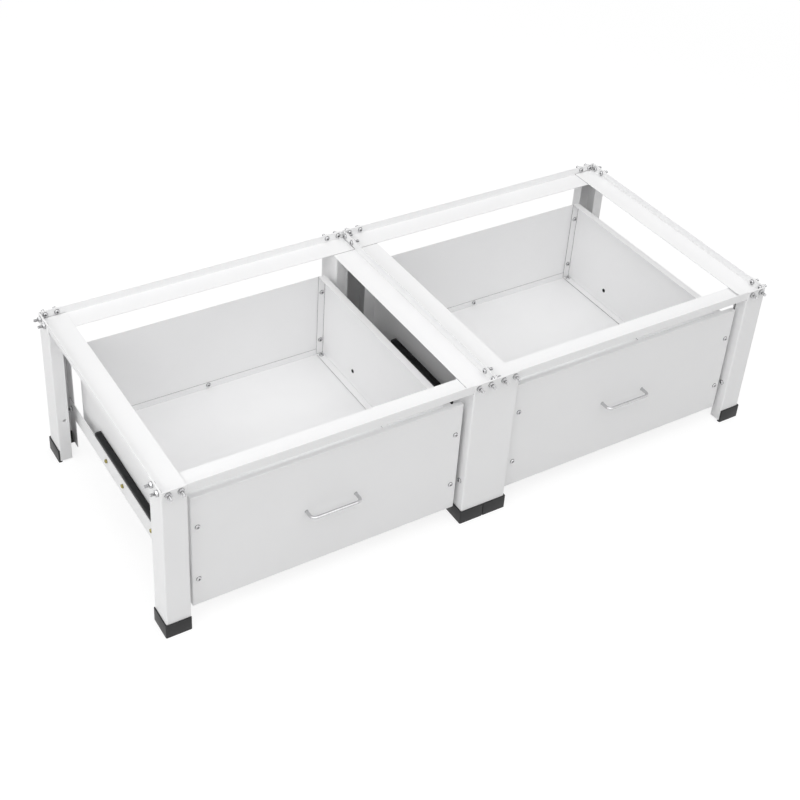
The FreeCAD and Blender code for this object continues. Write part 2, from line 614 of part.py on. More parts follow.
# Drawer sides: channels with inward flanges all round
flange_edge = f"({side_face} + side_flange)"
side_channel = folded_sheet(
    "side_channel",
    [(box_top, flange_edge), (box_top, side_face), ("box_rise", side_face), ("box_rise", flange_edge)],
    -1, "drawer_sheet", "drawer_bend", "y", front_inner, f"{back_inner} - {front_inner}")
end_flanges = [block((side_inner, end, "(box_rise + drawer_sheet)"),
                     (flange_edge, f"({end} + drawer_sheet)", f"({box_top} - drawer_sheet)"))
               for end in (front_inner, f"({back_inner} - drawer_sheet)")]
back_screws = [(f"({side_face} + back_screw_inset)", back_inner, rise)
               for rise in ("back_screw_low", "back_screw_high")]
floor_screws = [(f"({side_face} + floor_screw_inset)", place, "box_rise")
                for place in (f"({front_inner} + floor_screw_end)", f"({box_back} - floor_screw_end)")]
side_holes = [hole(place, "y", "screw_hole") for place in front_screws[:2] + back_screws]
side_holes += [hole(place, "z", "screw_hole") for place in floor_screws]
side_holes += [hole(place, "x", "slide_screw_hole") for place in runner_holes]
left_side = cut_away("left_drawer_side_left", joined("side_sheet", [side_channel] + end_flanges), side_holes)
keep("left_drawer_side_left", left_side)
right_side = keep("left_drawer_side_right", mirrored("left_drawer_side_right", left_side, "x", bay_centre))
keep("right_drawer_side_left", mirrored("right_drawer_side_left", right_side, "x", "0"))
keep("right_drawer_side_right", mirrored("right_drawer_side_right", left_side, "x", "0"))

# Drawer backs: panels behind the back flanges of the sides, with a pressed field between the flanges
press_left = f"({flange_edge} - press_margin)"
press_right = f"(2 * {bay_centre} - {press_left})"
field_left = f"({press_left} - drawer_sheet)"
field_right = f"({press_right} + drawer_sheet)"
side_far = f"(2 * {bay_centre} - {side_face})"
field_front = f"({back_inner} + press_depth)"
field_back = f"({field_front} + drawer_sheet)"
back_panel = joined("back_panel", [
    block((side_face, back_inner, "box_rise"), (press_left, box_back, box_top)),
    block((field_left, back_inner, "box_rise"), (press_left, field_back, box_top)),
    block((field_left, field_front, "box_rise"), (field_right, field_back, box_top)),
    block((press_right, back_inner, "box_rise"), (field_right, field_back, box_top)),
    block((press_right, back_inner, "box_rise"), (side_far, box_back, box_top))])
upstand_screw = (bay_centre, field_front, "(box_rise + floor_upstand / 2)")
back_holes = [hole(place, "y", "screw_hole") for place in back_screws + [upstand_screw]]
back_holes += [hole((f"(2 * {bay_centre} - {x})", y, z), "y", "screw_hole") for x, y, z in back_screws]
keep_drawer("back", cut_away("left_drawer_back", back_panel, back_holes))

# Drawer bottoms: panels under the flanges of the sides, with a pressed field turned up at both ends
floor_under = "(box_rise - drawer_sheet)"
field_top = "(box_rise - press_depth)"
field_under = f"({field_top} - drawer_sheet)"
upstand_top = f"({floor_under} + floor_upstand)"
upstand_left = f"({flange_edge} + fit_gap)"
upstand_right = f"(2 * {bay_centre} - {upstand_left})"
floor_channel = folded_sheet(
    "floor_channel",
    [(front_inner, upstand_top), (front_inner, field_under),
     (field_front, field_under), (field_front, upstand_top)],
    1, "drawer_sheet", "drawer_bend", "x", upstand_left, f"{upstand_right} - {upstand_left}")
strip_front = f"({front_inner} + drawer_sheet + drawer_bend)"
strip_back = f"({back_inner} - drawer_sheet - drawer_bend)"
floor_strips = []
for x0, x1, low, high in ((side_face, press_left, floor_under, "box_rise"),
                          (field_left, press_left, field_under, "box_rise"),
                          (field_left, upstand_left, field_under, field_top),
                          (upstand_right, field_right, field_under, field_top),
                          (press_right, field_right, field_under, "box_rise"),
                          (press_right, side_far, floor_under, "box_rise")):
    floor_strips.append(block((x0, strip_front, low), (x1, strip_back, high)))
floor_holes = [hole(place, "z", "screw_hole") for place in floor_screws]
floor_holes += [hole((f"(2 * {bay_centre} - {x})", y, z), "z", "screw_hole") for x, y, z in floor_screws]
floor_holes.append(hole(upstand_screw, "y", "screw_hole"))
floor_panel = joined("floor_panel", [floor_channel] + floor_strips)
keep_drawer("bottom", cut_away("left_drawer_bottom", floor_panel, floor_holes))


# Fasteners: each group is one set of like pieces, placed from the same expressions as their holes
def pan_screw(head, head_height, diameter, length):
    """A screw standing head up on its seat, with a domed head and a cross recess."""
    dome = Part.makeCylinder(head / 2, head_height)
    rim = max(dome.Edges, key=lambda edge: (edge.CenterOfMass.z, edge.Length))
    dome = dome.makeFillet(head_height / 2, [rim])
    slot_long = head / 2
    slot_wide = head / 8
    for across, along in ((slot_long, slot_wide), (slot_wide, slot_long)):
        slot = Part.makeBox(across, along, head_height)
        slot.translate(FreeCAD.Vector(-across / 2, -along / 2, head_height / 2))
        dome = dome.cut(slot)
    shank = Part.makeCylinder(diameter / 2, length, FreeCAD.Vector(), -ALONG["z"])
    tip = min(shank.Edges, key=lambda edge: (edge.CenterOfMass.z, -edge.Length))
    return dome.fuse(shank.makeChamfer(diameter / 8, [tip])).removeSplitter()


def hex_nut(flats, nut_height, bore):
    """A nut standing on its seat, with its corners eased at both ends."""
    corner = flats / 3 ** 0.5
    prism = Part.makeCylinder(corner, nut_height)
    prism = prism.makeChamfer(corner - flats / 2, [edge for edge in prism.Edges if edge.Closed])
    for turn in range(3):
        slab = Part.makeBox(2 * flats, flats, nut_height)
        slab.translate(FreeCAD.Vector(-flats, -flats / 2, 0))
        slab.rotate(FreeCAD.Vector(), ALONG["z"], 60 * turn)
        prism = prism.common(slab)
    return prism.cut(Part.makeCylinder(bore / 2, nut_height))


def placed(shape, seat, way):
    copy = shape.copy()
    copy.Placement = FreeCAD.Placement(seat, FreeCAD.Rotation(ALONG["z"], way))
    return copy


def flipped(spots, axis, plane):
    """Seats and directions mirrored in a plane across an axis."""
    turned = []
    for seat, way in spots:
        seat, way = FreeCAD.Vector(seat), FreeCAD.Vector(way)
        setattr(seat, axis, 2 * plane - getattr(seat, axis))
        setattr(way, axis, -getattr(way, axis))
        turned.append((seat, way))
    return turned


def fastener_group(label, sets):
    group = doc.addObject("Part::Feature", label)
    group.Shape = Part.makeCompound([placed(shape, *spot) for shape, spots in sets for spot in spots])
    return group


bolt_sizes = ("bolt_head", "bolt_head_height", "bolt_diameter", "bolt_length")
bolt = pan_screw(*[number_of(size) for size in bolt_sizes])
nut = hex_nut(number_of("nut_flats"), number_of("nut_height"), number_of("bolt_hole"))
rim_grip = "(leg_sheet + rail_sheet)"
bar_grip = "(leg_sheet + bar_sheet)"
bolt_spots, nut_spots = [], []
for inset in ("corner_bolt_near", "corner_bolt_far"):
    bolt_spots.append((vector_of((f"{left} + {inset}", f"{front} + {rim_grip}", rim_bolt_rise)), ALONG["y"]))
    nut_spots.append((vector_of((f"{left} + {inset}", front, rim_bolt_rise)), -ALONG["y"]))
    bolt_spots.append((vector_of((f"{left} + {rim_grip}", f"{front} + {inset}", rim_bolt_rise)), ALONG["x"]))
    nut_spots.append((vector_of((left, f"{front} + {inset}", rim_bolt_rise)), -ALONG["x"]))
for inset in ("middle_bolt_near", "middle_bolt_far"):
    bolt_spots.append((vector_of((f"0 - {inset}", f"{front} + {rim_grip}", rim_bolt_rise)), ALONG["y"]))
    nut_spots.append((vector_of((f"0 - {inset}", front, rim_bolt_rise)), -ALONG["y"]))
bar_bolt_line = f"{front} + bar_bolt_inset"
bolt_spots.append((vector_of((lip_face, bar_bolt_line, bar_bolt_rise)), ALONG["x"]))
nut_spots.append((vector_of((f"{lip_face} - {bar_grip}", bar_bolt_line, bar_bolt_rise)), -ALONG["x"]))
bolt_spots.append((vector_of((middle_leg_left, bar_bolt_line, bar_bolt_rise)), -ALONG["x"]))
nut_spots.append((vector_of((f"{middle_leg_left} + {bar_grip}", bar_bolt_line, bar_bolt_rise)), ALONG["x"]))
bolt_spots += flipped(bolt_spots, "x", 0)
nut_spots += flipped(nut_spots, "x", 0)
for inset in ("joint_bolt_near", "joint_bolt_far"):
    seat = ("middle_gap + rail_sheet", f"{front} + {inset}", rim_bolt_rise)
    nut_spots.append((vector_of(seat), ALONG["x"]))
    bolt_spots += flipped([(vector_of(seat), ALONG["x"])], "x", 0)
bolt_spots += flipped(bolt_spots, "y", number_of(middle_depth))
nut_spots += flipped(nut_spots, "y", number_of(middle_depth))
keep("frame_bolts", fastener_group("frame_bolts", [(bolt, bolt_spots)]))
keep("frame_nuts", fastener_group("frame_nuts", [(nut, nut_spots)]))

slide_grip = "(slide_sheet + bar_sheet)"
slide_screw_sizes = [number_of(size) for size in (
    "slide_screw_head", "slide_screw_head_height", "slide_screw_diameter")]
slide_screw = pan_screw(*slide_screw_sizes, number_of(f"{slide_grip} + slide_screw_tip"))
fixing_spots = [(vector_of((f"{bar_face} + slide_sheet", place, "slide_rise")), ALONG["x"])
                for place in slide_fixings]
fixing_spots += flipped(fixing_spots, "x", number_of(bay_centre))
fixing_spots += flipped(fixing_spots, "x", 0)
keep("slide_screws", fastener_group("slide_screws", [(slide_screw, fixing_spots)]))

screw_sizes = [number_of(size) for size in ("screw_head", "screw_head_height", "screw_diameter")]
panel_screw = pan_screw(*screw_sizes, number_of("2 * drawer_sheet + screw_tip"))
handle_screw = pan_screw(*screw_sizes[:2], number_of("handle_screw_diameter"),
                         number_of("drawer_sheet + handle_screw_depth"))
runner_screw = pan_screw(*slide_screw_sizes, number_of("drawer_sheet + slide_sheet + screw_tip"))
back_spots = [(vector_of((x, f"{back_inner} - drawer_sheet", z)), -ALONG["y"]) for x, _, z in back_screws]
floor_spots = [(vector_of((x, y, "box_rise + drawer_sheet")), ALONG["z"]) for x, y, _ in floor_screws]
runner_spots = [(vector_of((side_inner, y, z)), ALONG["x"]) for _, y, z in runner_holes]
bay_middle = number_of(bay_centre)
for spots in (back_spots, floor_spots, runner_spots):
    spots += flipped(spots, "x", bay_middle)
front_spots = [(vector_of(place), -ALONG["y"]) for place in front_screws]
upstand_spot = (vector_of((bay_centre, f"{field_front} - drawer_sheet", upstand_screw[2])), -ALONG["y"])
keep_drawer("screws", fastener_group("left_drawer_screws", [
    (panel_screw, front_spots + back_spots + floor_spots + [upstand_spot]),
    (handle_screw, [(vector_of(place), ALONG["y"]) for place in handle_screws]),
    (runner_screw, runner_spots)]))

# Every piece is checked before any is written
doc.recompute()
for item in doc.Objects:
    if "Invalid" in item.State or "Error" in item.State:
        raise RuntimeError(f"{item.Label} failed: {item.State}")
for label, piece in nodes.items():
    if piece.Shape.isNull() or not piece.Shape.isValid():
        raise RuntimeError(f"{label} has no valid shape")
os.makedirs("parts", exist_ok=True)
for label, piece in nodes.items():
    piece.Shape.exportStep(f"parts/{label}.step")
whole = Part.makeCompound([piece.Shape for piece in nodes.values()]).BoundBox
print(len(nodes), "pieces, low corner", whole.XMin, whole.YMin, whole.ZMin,
      "high corner", whole.XMax, whole.YMax, whole.ZMax)
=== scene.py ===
import bmesh
import bpy
import math
from mathutils import Matrix, Vector


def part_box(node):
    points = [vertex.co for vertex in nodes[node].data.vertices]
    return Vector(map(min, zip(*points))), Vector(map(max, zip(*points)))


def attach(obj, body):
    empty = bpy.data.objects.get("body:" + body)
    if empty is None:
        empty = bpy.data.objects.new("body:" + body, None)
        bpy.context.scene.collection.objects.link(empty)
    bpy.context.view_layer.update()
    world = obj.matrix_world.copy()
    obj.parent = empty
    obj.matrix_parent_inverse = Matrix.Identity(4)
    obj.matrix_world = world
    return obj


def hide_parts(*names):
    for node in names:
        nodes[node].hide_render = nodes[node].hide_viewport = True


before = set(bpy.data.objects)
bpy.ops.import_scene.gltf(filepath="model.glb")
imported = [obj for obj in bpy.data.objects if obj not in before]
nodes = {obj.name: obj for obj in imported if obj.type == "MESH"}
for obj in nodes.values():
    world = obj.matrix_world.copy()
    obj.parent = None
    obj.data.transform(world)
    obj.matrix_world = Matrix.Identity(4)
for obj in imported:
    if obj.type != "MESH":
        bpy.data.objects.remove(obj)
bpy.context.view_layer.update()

# Legs. Each is one strip of steel sheet folded into a lipped angle or channel and powder coated white.
# Bolts through the rims of the top rails hold them. The coat is satin with a faint orange peel skin. Its
# colour is painted darker in the narrow joints where sheets lap and in recesses, as painted shade.
COAT_WHITE = (0.905, 0.905, 0.908, 1.0)
COAT_SHADE = (0.89, 0.89, 0.894, 1.0)
# Painted shade: the dark tone that narrow joints and recesses of the coat are painted towards.
COAT_PAINTED_SHADE = (0.10, 0.10, 0.105, 1.0)
COAT_PAINTED_SHADE_REACH = 0.0014
COAT_DRIFT = 0.12
COAT_ROUGHNESS = (0.42, 0.50)
PEEL_PITCH = 0.0025
PEEL_DEPTH = 0.0001
PEEL_STRENGTH = 0.04
NOISE_BAND = (0.3, 0.7)
PAINTED_SHADE_BAND = (0.50, 0.84)


def new_material(name):
    """A material, its shader, and the coordinates of the piece's own mesh."""
    material = bpy.data.materials.new(name)
    material.use_nodes = True
    tree = material.node_tree
    shader = tree.nodes["Principled BSDF"]
    place = tree.nodes.new("ShaderNodeTexCoord").outputs["Object"]
    return material, tree, shader, place


def noise(tree, place, pitch, detail=2.0):
    """Cloudy noise whose lumps are about pitch metres across."""
    texture = tree.nodes.new("ShaderNodeTexNoise")
    texture.inputs["Scale"].default_value = 1.0 / pitch
    texture.inputs["Detail"].default_value = detail
    tree.links.new(place, texture.inputs["Vector"])
    return texture.outputs["Fac"]


def stretched(tree, factor, band, ends=(0.0, 1.0)):
    """A value whose band is stretched to reach from one end to the other."""
    stretch = tree.nodes.new("ShaderNodeMapRange")
    for name, value in zip(("From Min", "From Max", "To Min", "To Max"), band + ends):
        stretch.inputs[name].default_value = value
    tree.links.new(factor, stretch.inputs["Value"])
    return stretch.outputs["Result"]


def tint(tree, factor, first, second):
    """A colour that drifts between two tones."""
    ramp = tree.nodes.new("ShaderNodeValToRGB")
    for element, position, colour in zip(ramp.color_ramp.elements, NOISE_BAND, (first, second)):
        element.position = position
        element.color = colour
    tree.links.new(factor, ramp.inputs["Fac"])
    return ramp.outputs["Color"]


def relief(tree, factor, depth, strength):
    """A shallow bump from the noise."""
    bump = tree.nodes.new("ShaderNodeBump")
    bump.inputs["Strength"].default_value = strength
    bump.inputs["Distance"].default_value = depth
    tree.links.new(factor, bump.inputs["Height"])
    return bump.outputs["Normal"]


def painted_joint_shade(tree, colour, dark, reach):
    """Painted shade: the colour turned darker in joints and recesses narrower than reach metres."""
    shade = tree.nodes.new("ShaderNodeAmbientOcclusion")
    shade.samples = 8
    shade.inputs["Distance"].default_value = reach
    openness = stretched(tree, shade.outputs["AO"], PAINTED_SHADE_BAND)
    blend = tree.nodes.new("ShaderNodeMixRGB")
    blend.inputs["Color1"].default_value = dark
    tree.links.new(openness, blend.inputs["Fac"])
    tree.links.new(colour, blend.inputs["Color2"])
    return blend.outputs["Color"]


def powder_coat():
    material, tree, shader, place = new_material("white_powder_coat")
    drift = noise(tree, place, COAT_DRIFT)
    peel = noise(tree, place, PEEL_PITCH, 1.0)
    white = tint(tree, drift, COAT_SHADE, COAT_WHITE)
    # Painted shade: the base colour darkens in narrow joints and recesses, where shade falls.
    tree.links.new(painted_joint_shade(tree, white, COAT_PAINTED_SHADE, COAT_PAINTED_SHADE_REACH), shader.inputs["Base Color"])
    tree.links.new(stretched(tree, drift, NOISE_BAND, COAT_ROUGHNESS), shader.inputs["Roughness"])
    tree.links.new(relief(tree, peel, PEEL_DEPTH, PEEL_STRENGTH), shader.inputs["Normal"])
    return material


def finish_nodes(names, material):
    """Gives the CAD pieces of these names one finish."""
    for name in names:
        mesh = nodes[name].data
        mesh.materials.clear()
        mesh.materials.append(material)


white_coat = powder_coat()
finish_nodes([name for name in nodes if name.startswith("leg_")], white_coat)

# Foot caps. Moulded black plastic shoes pushed onto the lower end of each fold of a leg, so that the sheet
# stands on a sole. Their edges are eased by the mould and their skin is a fine satin grain.
CAP_BLACK = (0.020, 0.020, 0.021, 1.0)
CAP_GREY = (0.030, 0.030, 0.031, 1.0)
CAP_CLOUD = 0.02
CAP_GRAIN = 0.0007
CAP_GRAIN_DEPTH = 0.00008
CAP_ROUGHNESS = (0.40, 0.52)
CAP_GLOSS = 0.3
CAP_EDGE = 0.0008
CAP_CORNER = 0.0022


def moulded_plastic():
    material, tree, shader, place = new_material("black_moulded_plastic")
    cloud = noise(tree, place, CAP_CLOUD)
    grain = noise(tree, place, CAP_GRAIN)
    tree.links.new(tint(tree, cloud, CAP_BLACK, CAP_GREY), shader.inputs["Base Color"])
    tree.links.new(stretched(tree, cloud, NOISE_BAND, CAP_ROUGHNESS), shader.inputs["Roughness"])
    tree.links.new(relief(tree, grain, CAP_GRAIN_DEPTH, 0.25), shader.inputs["Normal"])
    shader.inputs["Specular IOR Level"].default_value = CAP_GLOSS
    return material


def solid_cast(name):
    """The surface of a CAD piece with its faces sewn together."""
    cast = bmesh.new()
    cast.from_mesh(nodes[name].data)
    bmesh.ops.remove_doubles(cast, verts=cast.verts, dist=1e-6)
    return cast


def new_piece(name, cast, material, sharp=math.radians(35)):
    """A piece in the scene from a finished mesh."""
    mesh = bpy.data.meshes.new(name)
    cast.to_mesh(mesh)
    cast.free()
    mesh.shade_smooth()
    mesh.set_sharp_from_angle(angle=sharp)
    mesh.materials.append(material)
    piece = bpy.data.objects.new(name, mesh)
    bpy.context.scene.collection.objects.link(piece)
    return piece


def eased_cap(name, material):
    cast = solid_cast(name)
    bmesh.ops.dissolve_limit(cast, angle_limit=math.radians(1), verts=cast.verts, edges=cast.edges)
    low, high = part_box(name)
    corners = [edge for edge in cast.edges if all(
        min(abs(vert.co.x - low.x), abs(vert.co.x - high.x)) < 1e-5
        and min(abs(vert.co.y - low.y), abs(vert.co.y - high.y)) < 1e-5 for vert in edge.verts)]
    upright = [edge for edge in corners if abs(edge.verts[0].co.z - edge.verts[1].co.z) > 1e-4]
    bmesh.ops.bevel(cast, geom=upright, offset=CAP_CORNER, segments=4, profile=0.5, affect="EDGES",
                    clamp_overlap=True)
    edges = [edge for edge in cast.edges if edge.calc_face_angle(0.0) > math.radians(30)]
    bmesh.ops.bevel(cast, geom=edges, offset=CAP_EDGE, segments=3, profile=0.5, affect="EDGES",
                    clamp_overlap=True)
    cap = new_piece(f"{name}_cap", cast, material)
    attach(cap, "frame")
    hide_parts(name)


cap_plastic = moulded_plastic()
for name in [name for name in nodes if name.startswith("foot_")]:
    finish_nodes([name], cap_plastic)
    eased_cap(name, cap_plastic)

# Top rails. Angles of coated sheet whose flanges lap over each other at the corners and carry the machines.
# Their upright rims are bolted to the inside of the legs.
finish_nodes([name for name in nodes if name.startswith("rail_")], white_coat)

# Frame bolts and nuts. Fully threaded screws of zinc plated steel with domed cross-recess heads inside the
# frame, and hexagon nuts outside with the thread ends standing out. The plating is bright and a little cloudy,
# with painted shade darkening it in recesses and narrow gaps.
ZINC_LIGHT = (0.72, 0.72, 0.73, 1.0)
ZINC_DULL = (0.46, 0.46, 0.47, 1.0)
# Painted shade: the dark tone that recesses and narrow gaps in the zinc plating are painted towards.
ZINC_PAINTED_SHADE = (0.03, 0.03, 0.03, 1.0)
PLATING_PAINTED_SHADE_REACH = 0.002
PLATING_CLOUD = 0.004
PLATING_SCRATCH = 0.0008
PLATING_ROUGHNESS = (0.16, 0.32)
BOLT_HEAD_HEIGHT = 0.0034
BOLT_PITCH = 0.001
HEAD_DOME = 0.55
TURN_STEPS = 24
PITCH_STEPS = 5


def plated_steel(name, light, dull, painted_shade_tone):
    material, tree, shader, place = new_material(name)
    cloud = noise(tree, place, PLATING_CLOUD)
    scratch = noise(tree, place, PLATING_SCRATCH)
    shader.inputs["Metallic"].default_value = 1.0
    plating = tint(tree, cloud, dull, light)
    # Painted shade: the plating darkens in recesses and narrow gaps, where shade falls.
    tree.links.new(painted_joint_shade(tree, plating, painted_shade_tone, PLATING_PAINTED_SHADE_REACH), shader.inputs["Base Color"])
    tree.links.new(stretched(tree, cloud, NOISE_BAND, PLATING_ROUGHNESS), shader.inputs["Roughness"])
    tree.links.new(relief(tree, scratch, 0.00005, 0.15), shader.inputs["Normal"])
    return material


def separate_solids(name):
    """The points of each solid in a CAD group."""
    cast = solid_cast(name)
    seen = set()
    solids = []
    for start in cast.verts:
        if start in seen:
            continue
        seen.add(start)
        reached = [start]
        for vert in reached:
            for edge in vert.link_edges:
                other = edge.other_vert(vert)
                if other not in seen:
                    seen.add(other)
                    reached.append(other)
        solids.append([vert.co.copy() for vert in reached])
    cast.free()
    return solids


def screw_places(name):
    """Each screw of a CAD group: head and shank across, length, the top of its head, its way up."""
    places = []
    for points in separate_solids(name):
        low = Vector([min(point[axis] for point in points) for axis in range(3)])
        high = Vector([max(point[axis] for point in points) for axis in range(3)])
        size = high - low
        along = min(range(3), key=lambda axis: abs(size[(axis + 1) % 3] - size[(axis + 2) % 3]))
        across = size[(along + 1) % 3]
        centre = (low + high) / 2
        cross_axes = [axis for axis in range(3) if axis != along]
        reach = [math.hypot(*[point[axis] - centre[axis] for axis in cross_axes]) for point in points]
        rim = [point[along] for point, far in zip(points, reach) if far > 0.45 * across]
        sign = 1 if sum(rim) / len(rim) > centre[along] else -1
        way = Vector([sign if axis == along else 0 for axis in range(3)])
        shank = 2 * max(far for point, far in zip(points, reach)
                        if sign * (point[along] - centre[along]) < -0.1 * size[along])
        head_top = centre + way * size[along] / 2
        places.append((round(across, 4), round(shank, 4), round(size[along], 4), head_top, way))
    return places


def thread_radius(turn, rise, pitch, crest):
    """The flank of a thread at an angle, in turns, and a height."""
    phase = (rise / pitch - turn) % 1.0
    return crest - 0.6 * pitch * abs(2 * phase - 1)


def screw_mesh(across, shank, length, head_height, pitch):
    """A threaded screw standing under its head's top, which is at the origin."""
    radius = across / 2
    rings = []
    for step in range(1, 7):
        angle = step * math.pi / 12
        dome = (radius * math.sin(angle), HEAD_DOME * head_height * (math.cos(angle) - 1))
        rings.append([dome] * TURN_STEPS)
    rings.append([(radius, -head_height)] * TURN_STEPS)
    tip = -length
    rises = [-head_height]
    while rises[-1] - pitch / PITCH_STEPS > tip:
        rises.append(rises[-1] - pitch / PITCH_STEPS)
    rises.append(tip)
    for rise in rises:
        ring = []
        for step in range(TURN_STEPS):
            flank = thread_radius(step / TURN_STEPS, rise, pitch, shank / 2)
            ring.append((min(flank, shank / 2 - 0.8 * pitch + rise - tip), rise))
        rings.append(ring)
    cast = bmesh.new()
    grid = []
    for ring in rings:
        row = []
        for step, (reach, rise) in enumerate(ring):
            angle = 2 * math.pi * step / TURN_STEPS
            row.append(cast.verts.new((reach * math.cos(angle), reach * math.sin(angle), rise)))
        grid.append(row)
    top = cast.verts.new((0, 0, 0))
    bottom = cast.verts.new((0, 0, tip))
    for step in range(TURN_STEPS):
        following = (step + 1) % TURN_STEPS
        cast.faces.new((top, grid[0][step], grid[0][following]))
        cast.faces.new((bottom, grid[-1][following], grid[-1][step]))
        for upper, lower in zip(grid, grid[1:]):
            cast.faces.new((upper[step], lower[step], lower[following], upper[following]))
    return recessed(cast, across, head_height)


def recessed(cast, across, head_height):
    """The screw with a tapered cross pressed into its head."""
    reach, blade = 0.27 * across, 0.07 * across
    cross = [(reach, blade), (blade, blade), (blade, reach), (-blade, reach), (-blade, blade), (-reach, blade),
             (-reach, -blade), (-blade, -blade), (-blade, -reach), (blade, -reach), (blade, -blade),
             (reach, -blade)]
    punch = bmesh.new()
    upper = [punch.verts.new((1.3 * x, 1.3 * y, 0.3 * head_height)) for x, y in cross]
    lower = [punch.verts.new((0.6 * x, 0.6 * y, -0.6 * head_height)) for x, y in cross]
    punch.faces.new(upper)
    punch.faces.new(lower[::-1])
    for index in range(len(cross)):
        following = (index + 1) % len(cross)
        punch.faces.new((upper[index], lower[index], lower[following], upper[following]))
    bmesh.ops.recalc_face_normals(punch, faces=punch.faces)
    blank_piece = new_piece("screw_blank", cast, zinc)
    punch_piece = new_piece("screw_punch", punch, zinc)
    press = blank_piece.modifiers.new("recess", "BOOLEAN")
    press.object = punch_piece
    press.operation = "DIFFERENCE"
    press.solver = "EXACT"
    graph = bpy.context.evaluated_depsgraph_get()
    pressed = bpy.data.meshes.new_from_object(blank_piece.evaluated_get(graph))
    for blank in (blank_piece, punch_piece):
        mesh = blank.data
        bpy.data.objects.remove(blank)
        bpy.data.meshes.remove(mesh)
    return pressed


def screw_set(name, places, head_height, pitch, material):
    """One piece of many like screws."""
    patterns = {}
    cast = bmesh.new()
    for *sizes, head_top, way in places:
        sizes = tuple(sizes)
        if sizes not in patterns:
            patterns[sizes] = screw_mesh(*sizes, head_height, pitch)
        screw = patterns[sizes].copy()
        screw.transform(Matrix.Translation(head_top) @ way.to_track_quat("Z", "Y").to_matrix().to_4x4())
        cast.from_mesh(screw)
        bpy.data.meshes.remove(screw)
    for pattern in patterns.values():
        bpy.data.meshes.remove(pattern)
    return new_piece(name, cast, material)


zinc = plated_steel("bright_zinc", ZINC_LIGHT, ZINC_DULL, ZINC_PAINTED_SHADE)
finish_nodes(["frame_bolts", "frame_nuts"], zinc)
frame_screws = screw_set("frame_threaded_bolts", screw_places("frame_bolts"), BOLT_HEAD_HEIGHT,
                         BOLT_PITCH, zinc)
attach(frame_screws, "frame")
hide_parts("frame_bolts")

# Slide bars. Flat bars of coated steel bolted between the front and back legs. The drawer slides are screwed
# to their inner faces.
finish_nodes([name for name in nodes if name.endswith("_bar")], white_coat)

# Telescopic slides. Black coated steel members that nest in each other, rolled with round shoulders, with
# bearing balls in bright cage strips between them and a plastic stop over the back end of the fixed member.
SLIDE_BLACK = (0.010, 0.010, 0.011, 1.0)
SLIDE_GREY = (0.018, 0.018, 0.019, 1.0)
SLIDE_CLOUD = 0.03
SLIDE_ROUGHNESS = (0.30, 0.42)
SLIDE_GLOSS = 0.2
SLIDE_SHEET = 0.0012
SHOULDER = 0.0035
SHOULDER_STEPS = 6
STOP_LENGTH = 0.006
STOP_PROUD = 0.0005


def slide_black():
    material, tree, shader, place = new_material("black_slide_coat")
    cloud = noise(tree, place, SLIDE_CLOUD)
    tree.links.new(tint(tree, cloud, SLIDE_BLACK, SLIDE_GREY), shader.inputs["Base Color"])
    tree.links.new(stretched(tree, cloud, NOISE_BAND, SLIDE_ROUGHNESS), shader.inputs["Roughness"])
    tree.links.new(relief(tree, noise(tree, place, 0.001), 0.00006, 0.15), shader.inputs["Normal"])
    shader.inputs["Specular IOR Level"].default_value = SLIDE_GLOSS
    return material


def shoulder_line(width, half, radius):
    """Half of a channel's outline, from the middle of its web round a shoulder to the end of its flange."""
    line = [(0.0, 0.0)]
    for step in range(SHOULDER_STEPS + 1):
        angle = math.pi / 2 * step / SHOULDER_STEPS
        line.append((radius - radius * math.cos(angle), half - radius + radius * math.sin(angle)))
    line.append((width, half))
    return line


def rolled_channel(name, material):
    """A fixed slide member: a channel with round shoulders, its web on the slide bar."""
    low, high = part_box(name)
    width, half, middle = high.x - low.x, (high.z - low.z) / 2, (high.z + low.z) / 2
    web_low = "_left_slide" in name
    outside = shoulder_line(width, half, SHOULDER)
    inside = [(min(SLIDE_SHEET + x, width), z) for x, z in
              shoulder_line(width - SLIDE_SHEET, half - SLIDE_SHEET, SHOULDER - SLIDE_SHEET)]
    cast = bmesh.new()
    rows = []
    for line in (outside, inside):
        whole = [(x, -z) for x, z in line[:0:-1]] + line
        rows.append([[cast.verts.new((low.x + x if web_low else high.x - x, y, middle + z)) for x, z in whole]
                     for y in (low.y, high.y)])
    (outer_front, outer_back), (inner_front, inner_back) = rows
    loop = [outer_front, outer_back, inner_back, inner_front]
    for near, far in zip(loop, loop[1:] + loop[:1]):
        for index in range(len(near) - 1):
            cast.faces.new((near[index], near[index + 1], far[index + 1], far[index]))
    for end in (0, -1):
        cast.faces.new([edge[end] for edge in loop])
    bmesh.ops.recalc_face_normals(cast, faces=cast.faces)
    return new_piece(f"{name}_channel", cast, material)


